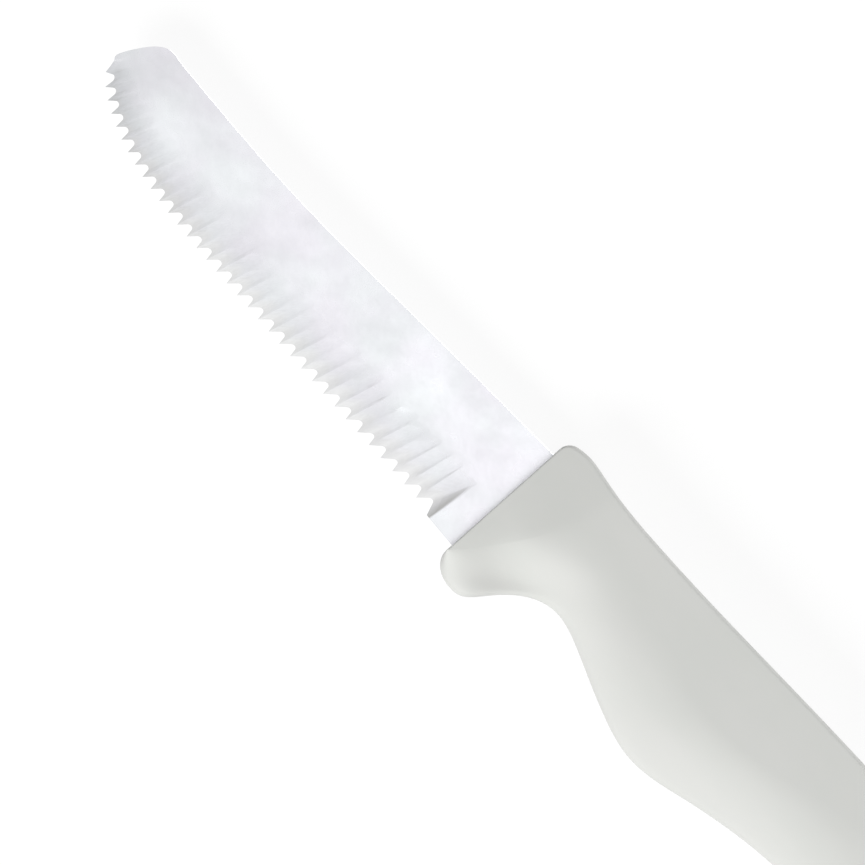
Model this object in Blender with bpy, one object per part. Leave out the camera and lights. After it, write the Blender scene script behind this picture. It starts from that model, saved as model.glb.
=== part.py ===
"""Breakfast knife: a thin serrated blade whose tang is keyed into a moulded plastic handle.

The knife lies on its side. X runs from the blade's tip (-X) to the handle's butt (+X), the spine
faces +Y, the cutting edge faces -Y and the ground side of the blade faces +Z. Sizes are in metres.
Both pieces are drawn with x = 0 at the handle's front face, y = 0 on the knife's axis and z = 0 in
the middle of the blade's thickness. The finished knife then rests with the bottom centre of its
box on the origin.
"""
import math

import bmesh
import bpy
import numpy as np
from mathutils import Vector

# Blade blank, a flat stamping
BLADE_LENGTH = 0.1096          # handle's front face to the foremost point of the nose
BLADE_THICKNESS = 0.0012
HEEL_TOP = 0.0179              # spine above the axis where the blade leaves the handle
HEEL_BOTTOM = -0.0075          # unground edge at the handle
SPINE_DIP = 0.0155             # lowest part of the hollow spine line
SPINE_DIP_FROM_TIP = 0.0390
SHOULDER_TOP = 0.0167          # spine where it turns down into the nose
SHOULDER_FROM_TIP = 0.0095
NOSE_HEIGHT = 0.0089           # foremost point above the axis
CHIN_CORNER = ((0.00008, 0.0084), (0.00042, 0.0080))   # rounded corner where the toothed edge meets the nose

# Serrated edge, ground from one side with a formed wheel
RICASSO = 0.0074               # plain blade left between the handle and the last flute
HEEL_RISE = 0.0004             # the plain edge rises by this on its way to the last flute
EDGE_STEP = 0.0011             # how far the tooth tips lie inside the blank's edge
EDGE_RISE_FROM_TIP = 0.0300    # where the straight edge starts to sweep up
EDGE_RISE_TOP = -0.0043        # tooth tips above the axis there
BELLY_FROM_TIP = 0.0092        # a point half way up the sweep
BELLY_TOP = -0.0001
CHIN_FROM_TIP = 0.00295        # tooth tips close under the nose
CHIN_TOP = 0.00325
LAST_TIP_FROM_TIP = 0.0009     # the foremost tooth
LAST_TIP_TOP = 0.00535
PITCH_AT_HEEL = 0.003385
PITCH_AT_TIP = 0.002535
LAST_PITCH_GAIN = 1.12         # the foremost tooth is this much wider
HEEL_RUN = 0.0005              # from the plain heel to the first notch
NOSE_RUN = 0.0028              # one long shallow notch between the foremost tooth and the nose
NOSE_HOLLOW = 0.00035          # depth of that notch
TOOTH_DEPTH_AT_HEEL = 0.00205
TOOTH_DEPTH_AT_TIP = 0.00195
NOTCH_RADIUS = 0.00072
TOOTH_WALL_LEAN = math.radians(23)     # steep side of a tooth, off the flute's direction
FLUTE_LENGTH = 0.0090                  # notch to where a flute runs out on the face
FLUTE_LENGTH_AT_NOSE = 0.0060
FLUTE_LEAN = math.radians(11.5)        # flutes lean back to the handle as they climb
FLUTE_LEAN_AT_NOSE = math.radians(30)
FLUTE_TURN_START = 0.72                # share of the edge after which the lean grows
FLUTE_OVERRUN = 0.00010        # how far the wheel stands over the face where a row of flutes ends
EDGE_THICKNESS = 0.00015

# Tang inside the handle
HEEL_DEPTH = 0.0030            # full blade height carried into the handle
TANG_LENGTH = 0.0750
TANG_CENTRE = 0.0090
TANG_HEIGHT_FRONT = 0.0130
TANG_HEIGHT_REAR = 0.0100
TANG_HOLE_RADIUS = 0.0030
TANG_HOLES = (0.0220, 0.0580)
CLEARANCE = 0.0003             # between the tang and the plastic moulded round it

# Handle
HANDLE_LENGTH = 0.1200
HANDLE_THICKNESS = 0.0155
BOLSTER_LENGTH = 0.0140        # reach of the two thinning facets behind the front face
FACET_SLOPE = math.tan(math.radians(7.7))
FACET_BLEND = 0.0010           # half the width over which a facet eases into the side
FACET_CORNER = 0.0050          # how widely the facet's two edges run into one another
FRONT_LEAN = 0.021             # slope of the front face, its lower end towards the tip
FRONT_EDGE_RADIUS = 0.0005
FRONT_TOP_RADIUS = 0.0019
GUARD_FRONT_LENGTH = 0.0050    # the guard's front corner is a quarter ellipse
GUARD_FRONT_HEIGHT = 0.0037
SPINE_EDGE_RADIUS = 0.0013
BUTT_RADIUS = 0.0085
BUTT_EDGE_RADIUS = 0.0032
SPINE_FRONT = 0.0215           # heights of the handle's spine line above the axis
SPINE_CREST = 0.0224
SPINE_CREST_X = 0.0045
SPINE_STRAIGHT = 0.0206
SPINE_STRAIGHT_X = 0.0250
SPINE_REAR = 0.0209
SPINE_BUTT = 0.0198
GUARD_FRONT = -0.01275         # heights and places of the handle's underside
GUARD_BOTTOM = -0.01315
GUARD_X = 0.0052
WAIST_BOTTOM = -0.00185
WAIST_X = 0.0216
BELLY_BOTTOM = -0.0103
BELLY_X = 0.0515
REAR_WAIST_BOTTOM = -0.0041
REAR_WAIST_X = 0.0880
BUTT_BOTTOM = -0.0068
LAND_FRONT = -0.0080           # heights where the flat side starts to roll to the underside
LAND_BOLSTER = 0.0132
LAND_CREST = 0.0150
LAND_CREST_X = 0.0185
LAND_WAIST = 0.0110
LAND_BELLY = 0.0062
LAND_REAR = 0.0118
LAND_BUTT = 0.0108
ROLL_FULLNESS = 1.65           # 2 is an ellipse, less is flatter, like a bevel
ROLL_START_FRONT = 1.20        # the same where the roll leaves the land line, at the guard
CREASE_END = 0.0200            # from here on the roll leaves the flat side smoothly

# Mesh fineness
STEPS_PER_ARC = 5
ROLL_STEPS = 9
SIDE_STEPS = 4
CORNER_ANGLE = 10              # degrees between sections round the handle's end corners
SECTION_GAP_FRONT = 0.0011     # between sections, from the guard to the belly
SECTION_GAP_REAR = 0.0024
CUT_MARGIN = 0.0010            # how far cutters stand out of what they cut

STEEL_COLOUR = (0.78, 0.78, 0.80, 1.0)
PLASTIC_COLOUR = (0.71, 0.71, 0.69, 1.0)


def clear_scene():
    for item in list(bpy.data.objects):
        bpy.data.objects.remove(item, do_unlink=True)


def make_material(name, colour, roughness, metallic):
    material = bpy.data.materials.new(name)
    material.use_nodes = True
    shader = material.node_tree.nodes["Principled BSDF"]
    shader.inputs["Base Color"].default_value = colour
    shader.inputs["Roughness"].default_value = roughness
    shader.inputs["Metallic"].default_value = metallic
    material.diffuse_color = colour
    return material


def between(start, end, *shares):
    """Points between two points; each share gives how far along, and how much of the rise."""
    (x0, y0), (x1, y1) = start, end
    return [(x0 + (x1 - x0) * along, y0 + (y1 - y0) * rise) for along, rise in shares]


def spline(knots, values):
    """A natural cubic spline through values at knots, returned as a function."""
    knots = np.array(knots, dtype=float)
    values = np.array(values, dtype=float)
    gap = np.diff(knots)
    slope = np.diff(values, axis=0) / (gap if values.ndim == 1 else gap[:, None])
    size = len(knots)
    system = np.eye(size)
    right = np.zeros_like(values)
    for i in range(1, size - 1):
        system[i, i - 1:i + 2] = gap[i - 1], 2 * (gap[i - 1] + gap[i]), gap[i]
        right[i] = 6 * (slope[i] - slope[i - 1])
    bend = np.linalg.solve(system, right)

    def value(t):
        i = int(np.clip(np.searchsorted(knots, t) - 1, 0, size - 2))
        before = (t - knots[i]) / gap[i]
        after = 1 - before
        sag = (after ** 3 - after) * bend[i] + (before ** 3 - before) * bend[i + 1]
        return after * values[i] + before * values[i + 1] + sag * gap[i] ** 2 / 6

    return value


def height_line(points):
    """The smooth height y over x through a few points."""
    xs, ys = zip(*points)
    return spline(xs, ys)


def smooth_path(points, count):
    """Points spread evenly along one smooth curve through a few points."""
    points = np.array(points)
    steps = np.linalg.norm(np.diff(points, axis=0), axis=1)
    chord = np.concatenate([[0.0], np.cumsum(steps)])
    curve = spline(chord, points)
    return [Vector(curve(t)) for t in np.linspace(0.0, chord[-1], count)]


def corner_drop(distance, length, height=None):
    """How far a rounded corner falls short of its square corner, at a distance from the end."""
    share = max(0.0, 1 - distance / length)
    return (height or length) * (1 - math.sqrt(1 - share ** 2))


def new_object(name, mesh, material=None):
    item = bpy.data.objects.new(name, mesh)
    bpy.context.collection.objects.link(item)
    if material is not None:
        mesh.materials.append(material)
    return item


def prism(name, outline, low, high, material=None):
    """A flat outline in XY extruded from z = low to z = high."""
    shape = bmesh.new()
    base = [shape.verts.new((x, y, low)) for x, y in outline]
    face = shape.faces.new(base)
    top = bmesh.ops.extrude_face_region(shape, geom=[face])["geom"]
    raised = [v for v in top if isinstance(v, bmesh.types.BMVert)]
    bmesh.ops.translate(shape, verts=raised, vec=(0, 0, high - low))
    return finish_mesh(name, shape, material)


def loft(name, rings, material=None):
    """A closed solid through rings that all have the same number of points."""
    shape = bmesh.new()
    rows = [[shape.verts.new(point) for point in ring] for ring in rings]
    for row, following in zip(rows, rows[1:]):
        for i in range(len(row)):
            j = (i + 1) % len(row)
            shape.faces.new((row[i], row[j], following[j], following[i]))
    shape.faces.new(rows[0])
    shape.faces.new(rows[-1])
    return finish_mesh(name, shape, material)


def finish_mesh(name, shape, material):
    bmesh.ops.recalc_face_normals(shape, faces=shape.faces)
    mesh = bpy.data.meshes.new(name)
    shape.to_mesh(mesh)
    shape.free()
    return new_object(name, mesh, material)


def hide_cutter(item):
    item.hide_render = True
    item.display_type = "WIRE"


def cut(target, cutter):
    hide_cutter(cutter)
    modifier = target.modifiers.new("cut by " + cutter.name, "BOOLEAN")
    modifier.operation = "DIFFERENCE"
    modifier.solver = "EXACT"
    modifier.object = cutter


def shade(item, angle):
    item.data.shade_smooth()
    item.data.set_sharp_from_angle(angle=math.radians(angle))


# Blade outline

def from_tip(distance, height):
    return (distance - BLADE_LENGTH, height)


def edge_path(count=400):
    """The line of the tooth tips, from the plain heel to the corner under the nose."""
    points = [
        (-RICASSO, HEEL_BOTTOM + EDGE_STEP),
        from_tip(EDGE_RISE_FROM_TIP, EDGE_RISE_TOP),
        from_tip(BELLY_FROM_TIP, BELLY_TOP),
        from_tip(CHIN_FROM_TIP, CHIN_TOP),
        from_tip(LAST_TIP_FROM_TIP, LAST_TIP_TOP),
        from_tip(*CHIN_CORNER[1]),
    ]
    points[1:1] = between(points[0], points[1], (0.35, 0.18), (0.70, 0.53))
    return smooth_path(points, count)


def blank_outline():
    """The stamped blank: spine, nose, the edge before grinding, and the tang."""
    heel = (0.0, HEEL_TOP)
    dip = from_tip(SPINE_DIP_FROM_TIP, SPINE_DIP)
    shoulder = from_tip(SHOULDER_FROM_TIP, SHOULDER_TOP)
    foremost = from_tip(0.0, NOSE_HEIGHT)
    spine = [heel, *between(heel, dip, (0.5, 0.56)), dip, *between(dip, shoulder, (0.55, 0.42)), shoulder]
    nose = between(shoulder, foremost, (0.40, 0.00), (0.56, 0.13), (0.79, 0.49), (0.93, 0.78), (0.98, 0.91))
    nose = [shoulder, *nose, foremost, from_tip(*CHIN_CORNER[0])]
    upper = smooth_path(spine, 26) + smooth_path(nose, 26)[1:]
    tips = edge_path(60)
    lower = []
    for i, tip in enumerate(tips):
        before = tips[max(i - 1, 0)]
        after = tips[min(i + 1, len(tips) - 1)]
        along = (after - before).normalized()
        narrowing = min(1.0, 10 * (1 - i / (len(tips) - 1)))
        lower.append(tip + Vector((along.y, -along.x)) * -EDGE_STEP * narrowing)
    lower = [Vector((0.0, HEEL_BOTTOM)), Vector((-RICASSO, HEEL_BOTTOM + HEEL_RISE)), *lower[1:]]
    return [tuple(p) for p in upper] + [tuple(p) for p in reversed(lower)] + tang_outline(0.0)[1:-1]


def tang_outline(room, mouth=0.0):
    """The part of the blank inside the handle, grown by some room all round."""
    step = HEEL_DEPTH + room
    end = TANG_LENGTH + room
    front = TANG_HEIGHT_FRONT / 2 + room
    rear = TANG_HEIGHT_REAR / 2 + room
    return [
        (-mouth, HEEL_BOTTOM - room),
        (step, HEEL_BOTTOM - room),
        (step, TANG_CENTRE - front),
        (end, TANG_CENTRE - rear),
        (end, TANG_CENTRE + rear),
        (step, TANG_CENTRE + front),
        (step, HEEL_TOP + room),
        (-mouth, HEEL_TOP + room),
    ]


def tang_pins(name, radius, height):
    """Round pins on the tang's holes, used as drills for the tang and as plastic in the slot."""
    pins = []
    for number, place in enumerate(TANG_HOLES, 1):
        shape = bmesh.new()
        bmesh.ops.create_cone(shape, cap_ends=True, segments=24, radius1=radius, radius2=radius, depth=height)
        bmesh.ops.translate(shape, verts=shape.verts, vec=(place, TANG_CENTRE, 0.0))
        pins.append(finish_mesh(f"{name}_{number}", shape, None))
    return pins


# Serration

def tooth_profile(pitch, depth):
    """One notch, from a tooth tip to the next: a long flank, a round root and a steep wall."""
    radius = NOTCH_RADIUS
    centre_y = depth - radius
    centre_x = pitch - centre_y * math.tan(TOOTH_WALL_LEAN) - radius / math.cos(TOOTH_WALL_LEAN)
    reach = math.hypot(centre_x, centre_y)
    flank = math.atan2(centre_y, centre_x) + math.asin(radius / reach)
    start = flank + math.pi / 2
    end = TOOTH_WALL_LEAN
    points = [(0.0, 0.0)]
    for i in range(STEPS_PER_ARC + 1):
        angle = start + (end - start) * i / STEPS_PER_ARC
        points.append((centre_x + radius * math.cos(angle), centre_y + radius * math.sin(angle)))
    return points


def grinding_stations():
    """Places along the edge as (point, share of the edge, cut above the tooth tips, share of the depth)."""
    path = edge_path()
    steps = [(b - a).length for a, b in zip(path, path[1:])]
    travelled = np.concatenate([[0.0], np.cumsum(steps)])
    length = travelled[-1]
    toothed = length - HEEL_RUN - NOSE_RUN
    count = round(toothed / ((PITCH_AT_HEEL + PITCH_AT_TIP) / 2))
    pitches = np.linspace(PITCH_AT_HEEL, PITCH_AT_TIP, count)
    pitches[-1] *= LAST_PITCH_GAIN
    pitches *= toothed / pitches.sum()
    depths = np.linspace(TOOTH_DEPTH_AT_HEEL, TOOTH_DEPTH_AT_TIP, count)
    stations = [(0.0, HEEL_RISE - EDGE_STEP, 0.0)]
    start = HEEL_RUN
    for pitch, depth in zip(pitches, depths):
        notch = [(start + pitch - along, height, 1.0) for along, height in tooth_profile(pitch, depth)]
        stations.extend(reversed(notch))
        start += pitch
    stations += [(length - NOSE_RUN / 2, NOSE_HOLLOW, 0.5), (length, 0.0, 0.0)]
    xs = [p.x for p in path]
    ys = [p.y for p in path]
    places = []
    for distance, height, depth in stations:
        point = Vector((np.interp(distance, travelled, xs), np.interp(distance, travelled, ys)))
        places.append((point, distance / length, height, depth))
    return places


def grinding_cutter():
    """All flutes as one ruled solid: its underside is what the formed wheel leaves, its ends slope."""
    face = BLADE_THICKNESS / 2
    full = BLADE_THICKNESS - EDGE_THICKNESS
    above = face + CUT_MARGIN
    below = -face - CUT_MARGIN
    outside = -3 * CUT_MARGIN
    rings = []
    for point, share, notch, depth in grinding_stations():
        turn = max(0.0, (share - FLUTE_TURN_START) / (1 - FLUTE_TURN_START)) ** 1.5
        lean = FLUTE_LEAN + (FLUTE_LEAN_AT_NOSE - FLUTE_LEAN) * turn
        slope = full / (FLUTE_LENGTH + (FLUTE_LENGTH_AT_NOSE - FLUTE_LENGTH) * turn)
        climb = Vector((math.sin(lean), math.cos(lean)))
        floor = face + FLUTE_OVERRUN - (full + FLUTE_OVERRUN) * depth
        section = [
            (notch + (above - floor) / slope, above),
            (notch, floor),
            (notch, below),
            (outside, below),
            (outside, above),
        ]
        rings.append([(*(point + climb * rise), z) for rise, z in section])
    return loft("grinding_wheel", rings)


def make_blade(material):
    half = BLADE_THICKNESS / 2
    blade = prism("blade", blank_outline(), -half, half, material)
    for drill in tang_pins("tang_drill", TANG_HOLE_RADIUS, BLADE_THICKNESS + 2 * CUT_MARGIN):
        cut(blade, drill)
    cut(blade, grinding_cutter())
    return blade


# Handle

def handle_lines():
    """Spine, underside and land line of the handle as heights over x."""
    straight = (SPINE_STRAIGHT_X, SPINE_STRAIGHT)
    crest = (SPINE_CREST_X, SPINE_CREST)
    spine = [
        (0.0, SPINE_FRONT),
        crest,
        *between(crest, straight, (0.24, 0.25), (0.56, 0.73)),
        straight,
        (BELLY_X, SPINE_STRAIGHT),
        (REAR_WAIST_X, SPINE_REAR),
        (HANDLE_LENGTH, SPINE_BUTT),
    ]
    guard = (GUARD_X, GUARD_BOTTOM)
    waist = (WAIST_X, WAIST_BOTTOM)
    belly = (BELLY_X, BELLY_BOTTOM)
    rear = (REAR_WAIST_X, REAR_WAIST_BOTTOM)
    butt = (HANDLE_LENGTH, BUTT_BOTTOM)
    underside = [
        (0.0, GUARD_FRONT),
        guard,
        *between(guard, waist, (0.20, 0.07), (0.41, 0.44), (0.68, 0.82)),
        waist,
        *between(waist, belly, (0.28, 0.21), (0.72, 0.80)),
        belly,
        *between(belly, rear, (0.34, 0.37), (0.75, 0.88)),
        rear,
        *between(rear, butt, (0.55, 0.60)),
        butt,
    ]
    corner = (0.0, LAND_FRONT)
    bolster = (BOLSTER_LENGTH, LAND_BOLSTER)
    land = [
        corner,
        *between(corner, bolster, (0.50, 0.48)),
        bolster,
        (LAND_CREST_X, LAND_CREST),
        ((WAIST_X + BELLY_X) / 2, LAND_WAIST),
        (BELLY_X, LAND_BELLY),
        (REAR_WAIST_X, LAND_REAR),
        (HANDLE_LENGTH, LAND_BUTT),
    ]
    return height_line(spine), height_line(underside), height_line(land)


def half_thickness(x):
    """Half the handle's thickness, before the facets are taken off."""
    half = HANDLE_THICKNESS / 2 - corner_drop(x, FRONT_EDGE_RADIUS)
    return half - corner_drop(HANDLE_LENGTH - x, BUTT_EDGE_RADIUS)


def facet_drop(x, y, land):
    """How far a bolster facet lies under the flat side, from the land line and from the bolster's rear."""
    rise = (LAND_BOLSTER - LAND_FRONT) / BOLSTER_LENGTH
    from_land = (y - land) / math.hypot(1.0, rise)
    from_rear = BOLSTER_LENGTH - x
    overlap = max(0.0, FACET_CORNER - abs(from_land - from_rear))
    inside = min(from_land, from_rear) - overlap ** 2 / (4 * FACET_CORNER)
    if inside < FACET_BLEND:
        inside = max(0.0, inside + FACET_BLEND) ** 2 / (4 * FACET_BLEND)
    return FACET_SLOPE * inside


def section_half(x, top, bottom, land):
    """One side of a section, from the underside's middle up to the spine's middle."""
    thick = half_thickness(x)
    crease = min(1.0, x / CREASE_END) ** 2
    start = ROLL_START_FRONT + (ROLL_FULLNESS - ROLL_START_FRONT) * crease
    points = []
    for i in range(ROLL_STEPS + 1):
        angle = math.pi / 2 * (1 - i / ROLL_STEPS)
        down = math.sin(angle) ** (2 / start)
        out = math.cos(angle) ** (2 / ROLL_FULLNESS)
        points.append((land - (land - bottom) * down, thick * out))
    radius = min(SPINE_EDGE_RADIUS, 0.45 * thick)
    for i in range(1, SIDE_STEPS + 1):
        y = land + (top - radius - land) * i / SIDE_STEPS
        points.append((y, thick - facet_drop(x, y, land)))
    edge = points[-1][1]
    for i in range(1, STEPS_PER_ARC + 1):
        angle = math.pi / 2 * i / STEPS_PER_ARC
        points.append((top - radius + radius * math.sin(angle), edge - radius + radius * math.cos(angle)))
    return points


def handle_stations():
    """Places of the sections: close together at the ends, where the outline turns fast."""
    turns = [1 - math.cos(math.radians(angle)) for angle in range(0, 91, CORNER_ANGLE)]
    front = {GUARD_FRONT_LENGTH * turn for turn in turns}
    front |= {FRONT_EDGE_RADIUS * turn for turn in turns[1::3]}
    butt = {HANDLE_LENGTH - BUTT_RADIUS * turn for turn in turns}
    butt |= {HANDLE_LENGTH - BUTT_EDGE_RADIUS * turn for turn in turns[1:3]}
    near = round((BELLY_X - max(front)) / SECTION_GAP_FRONT)
    far = round((min(butt) - BELLY_X) / SECTION_GAP_REAR)
    body = set(np.linspace(max(front), BELLY_X, near)[1:])
    body |= set(np.linspace(BELLY_X, min(butt), far)[1:-1])
    return sorted(float(x) for x in front | body | butt)


def handle_rings():
    spine, underside, land = handle_lines()
    rings = []
    for x in handle_stations():
        to_butt = HANDLE_LENGTH - x
        top = spine(x) - corner_drop(x, FRONT_TOP_RADIUS) - corner_drop(to_butt, BUTT_RADIUS)
        bottom = underside(x) + corner_drop(x, GUARD_FRONT_LENGTH, GUARD_FRONT_HEIGHT)
        bottom += corner_drop(to_butt, BUTT_RADIUS)
        level = min(land(x), top - 2 * SPINE_EDGE_RADIUS)
        side = section_half(x, top, bottom, level)
        loop = side + [(y, -z) for y, z in reversed(side[1:])]
        fade = max(0.0, 1 - x / BOLSTER_LENGTH)
        rings.append([(x + FRONT_LEAN * y * fade, y, z) for y, z in loop])
    return rings


def tang_slot():
    """The space that the tang leaves in the plastic, with the pins that fill the tang's holes."""
    half = BLADE_THICKNESS / 2 + CLEARANCE
    slot = prism("tang_slot", tang_outline(CLEARANCE, mouth=CUT_MARGIN), -half, half)
    for pin in tang_pins("plastic_pin", TANG_HOLE_RADIUS - CLEARANCE, 4 * half):
        cut(slot, pin)
    return slot


def make_handle(material):
    handle = loft("handle", handle_rings(), material)
    cut(handle, tang_slot())
    return handle


def stand_on_origin(pieces):
    """Parents the pieces to one empty that brings the bottom centre of their box to the origin."""
    corners = [v.co for piece in pieces for v in piece.data.vertices]
    low = Vector([min(c[i] for c in corners) for i in range(3)])
    high = Vector([max(c[i] for c in corners) for i in range(3)])
    knife = bpy.data.objects.new("knife", None)
    bpy.context.collection.objects.link(knife)
    knife.location = (-(low.x + high.x) / 2, -(low.y + high.y) / 2, -low.z)
    for piece in list(bpy.data.objects):
        if piece is not knife:
            piece.parent = knife


def main():
    clear_scene()
    steel = make_material("blade_steel", STEEL_COLOUR, roughness=0.32, metallic=1.0)
    plastic = make_material("handle_plastic", PLASTIC_COLOUR, roughness=0.45, metallic=0.0)
    blade = make_blade(steel)
    handle = make_handle(plastic)
    shade(blade, 20)
    shade(handle, 40)
    stand_on_origin([blade, handle])


main()
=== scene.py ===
"""Breakfast knife, dressed: a satin steel blade with ground flutes in a moulded off-white handle.

The blade and the handle each stand for one CAD solid. They repeat its form with a finer mesh, and add a
concave grind, a finger recess with pinched sides, a blunter underside and a slot that closes on the tang.
Sizes are in metres. The forms are drawn as in the CAD source, with x = 0 at the handle's front face, y = 0
on the knife's axis and z = 0 in the middle of the blade, and are then put where the frame has the CAD blade.
"""
import math
import random

import bmesh
import bpy
import numpy as np
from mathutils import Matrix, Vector


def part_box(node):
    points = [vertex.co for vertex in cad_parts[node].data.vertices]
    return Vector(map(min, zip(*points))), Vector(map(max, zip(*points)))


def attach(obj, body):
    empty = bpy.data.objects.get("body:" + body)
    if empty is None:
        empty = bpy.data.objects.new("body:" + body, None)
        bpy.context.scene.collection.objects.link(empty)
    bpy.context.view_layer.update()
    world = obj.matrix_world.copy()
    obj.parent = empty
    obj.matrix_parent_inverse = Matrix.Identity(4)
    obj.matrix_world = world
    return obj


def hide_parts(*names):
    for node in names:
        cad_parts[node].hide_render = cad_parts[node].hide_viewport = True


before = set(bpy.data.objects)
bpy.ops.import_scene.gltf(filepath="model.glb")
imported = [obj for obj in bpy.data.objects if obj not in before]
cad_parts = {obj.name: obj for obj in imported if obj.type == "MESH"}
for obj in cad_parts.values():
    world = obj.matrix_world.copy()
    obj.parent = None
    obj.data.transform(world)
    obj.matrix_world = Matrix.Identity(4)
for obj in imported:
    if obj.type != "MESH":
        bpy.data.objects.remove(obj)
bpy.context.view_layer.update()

# Blade blank, a flat stamping
BLADE_LENGTH = 0.1096
BLADE_THICKNESS = 0.0012
BLANK_EDGE_RADIUS = 0.00012    # tumbled edges of the stamping
HEEL_TOP = 0.0179
HEEL_BOTTOM = -0.0075
SPINE_DIP = 0.0155
SPINE_DIP_FROM_TIP = 0.0390
SHOULDER_TOP = 0.0167
SHOULDER_FROM_TIP = 0.0095
NOSE_HEIGHT = 0.0089
CHIN_CORNER = ((0.00008, 0.0084), (0.00042, 0.0080))

# Serrated edge
RICASSO = 0.0074
HEEL_RISE = 0.0004
EDGE_STEP = 0.0011
EDGE_STEP_FADE = 10            # over the last tenth of the edge the step runs down to nothing
EDGE_RISE_FROM_TIP = 0.0300
EDGE_RISE_TOP = -0.0043
BELLY_FROM_TIP = 0.0092
BELLY_TOP = -0.0001
CHIN_FROM_TIP = 0.00295
CHIN_TOP = 0.00325
LAST_TIP_FROM_TIP = 0.0009
LAST_TIP_TOP = 0.00535
PITCH_AT_HEEL = 0.003385
PITCH_AT_TIP = 0.002535
LAST_PITCH_GAIN = 1.12
HEEL_RUN = 0.0005
NOSE_RUN = 0.0028
NOSE_HOLLOW = 0.00035
TOOTH_DEPTH_AT_HEEL = 0.00205
TOOTH_DEPTH_AT_TIP = 0.00195
NOTCH_RADIUS = 0.00072
TOOTH_WALL_LEAN = math.radians(23)

# Flutes over the teeth: a pair holds the value at the heel and at the nose
FLUTE_LENGTH = 0.0098
FLUTE_LENGTH_AT_NOSE = 0.0057
FLUTE_LEAN = math.radians(15.5)
FLUTE_LEAN_AT_HEEL = math.radians(7)
FLUTE_LEAN_AT_NOSE = math.radians(30)
HEEL_TURN_END = 0.12
NOSE_TURN_START = 0.72
NOSE_TURN_BEND = 1.5           # more than 1 turns the flutes mostly near the end
FLUTE_ARC = (1.5, 1.1)         # 1 is a straight wheel, more stays deep for longer
FLUTE_HOLLOW = (1.25, 1.6)     # more than 1 fades out softly on the face
WALL_CLOSING = (0.7, -0.6)     # share by which the steep walls narrow up the flutes, or widen below 0
FLUTE_MERGE = (0.5, 1.0)       # 1 lets neighbouring flutes melt into one band
FLUTE_OVERRUN = 0.00001        # how far the wheel still stands over the face where a flute fades out
FLUTE_UNEVENNESS = 0.08        # share by which the hand-held grind lets flutes differ in length
FLUTE_SEED = 5
HEEL_WALL_BACK = 0.0009        # how far the first flute's wall reaches into the plain heel
HEEL_WALL_WIDTH = 0.0029
HEEL_WALL_BEND = 1.6           # 1 is a straight bevel, 2 is rounded
HEEL_WALL_LENGTH = 0.0106
HEEL_WALL_CLOSING = 0.78       # share by which the first flute's wall has narrowed at its upper end
NOSE_GRIND_DEPTH = 0.60        # the grind gets shallower round the nose
NOSE_FADE = 0.0045
NOSE_FADE_BEND = 0.8
EDGE_THICKNESS = 0.00008

# Tang inside the handle
HEEL_DEPTH = 0.0030
TANG_LENGTH = 0.0750
TANG_CENTRE = 0.0090
TANG_HEIGHT_FRONT = 0.0130
TANG_HEIGHT_REAR = 0.0100
TANG_HOLE_RADIUS = 0.0030
TANG_HOLES = (0.0220, 0.0580)
CLEARANCE = 0.00003            # the plastic shrinks onto the tang

# Handle
HANDLE_LENGTH = 0.1200
HANDLE_THICKNESS = 0.0155
BOLSTER_LENGTH = 0.0140
FACET_SLOPE = math.tan(math.radians(7.7))
FACET_BLEND = 0.0010
FACET_CORNER = 0.0050
FRONT_LEAN = 0.021
FRONT_EDGE_RADIUS = 0.0003
FRONT_TOP_RADIUS = 0.0019
GUARD_FRONT_LENGTH = 0.0050
GUARD_FRONT_HEIGHT = 0.0037
SPINE_EDGE_RADIUS = 0.0009
SPINE_EDGE_LIMIT = 0.45        # share of the half thickness that the spine's rounding may take
BUTT_RADIUS = 0.0085
BUTT_EDGE_RADIUS = 0.0032
SPINE_FRONT = 0.0215
SPINE_CREST = 0.0224
SPINE_CREST_X = 0.0045
SPINE_STRAIGHT = 0.0206
SPINE_STRAIGHT_X = 0.0250
SPINE_REAR = 0.0209
SPINE_BUTT = 0.0198
GUARD_FRONT = -0.01275
GUARD_BOTTOM = -0.01315
GUARD_X = 0.0052
WAIST_BOTTOM = -0.00185
WAIST_X = 0.0216
BELLY_BOTTOM = -0.0103
BELLY_X = 0.0515
REAR_WAIST_BOTTOM = -0.0041
REAR_WAIST_X = 0.0880
BUTT_BOTTOM = -0.0068
LAND_FRONT = -0.0086
LAND_BOLSTER = 0.0125
LAND_CREST = 0.0145
LAND_CREST_X = 0.0185
LAND_WAIST = 0.0111
LAND_BELLY = 0.0062
LAND_REAR = 0.0118
LAND_BUTT = 0.0108
ROLL_GUARD = 1.35              # how full the roll under the land line is: 1 is a straight bevel, 2 an ellipse
ROLL_NECK = 2.0
ROLL_NECK_X = 0.0300
ROLL_BELLY = 1.25
ROLL_REAR_WAIST = 1.5
ROLL_BUTT = 1.65
ROLL_START = 1.55              # likewise, where it leaves the land line: at least this soft
UNDERSIDE_RADIUS = 0.0012
GUARD_HOLLOW_PLACE = (0.0113, -0.0058)
GUARD_HOLLOW_SIZE = (0.0032, 0.0075)
GUARD_HOLLOW_TURN = math.radians(-50)
GUARD_HOLLOW_SHARE = 0.45      # share of the thickness that the hollow pinches away
FINGER_HOLLOW_PLACE = (0.0145, -0.0035)
FINGER_HOLLOW_SIZE = (0.0120, 0.0040)
FINGER_HOLLOW_TURN = math.radians(-8)
FINGER_HOLLOW_SHARE = 0.25

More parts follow.
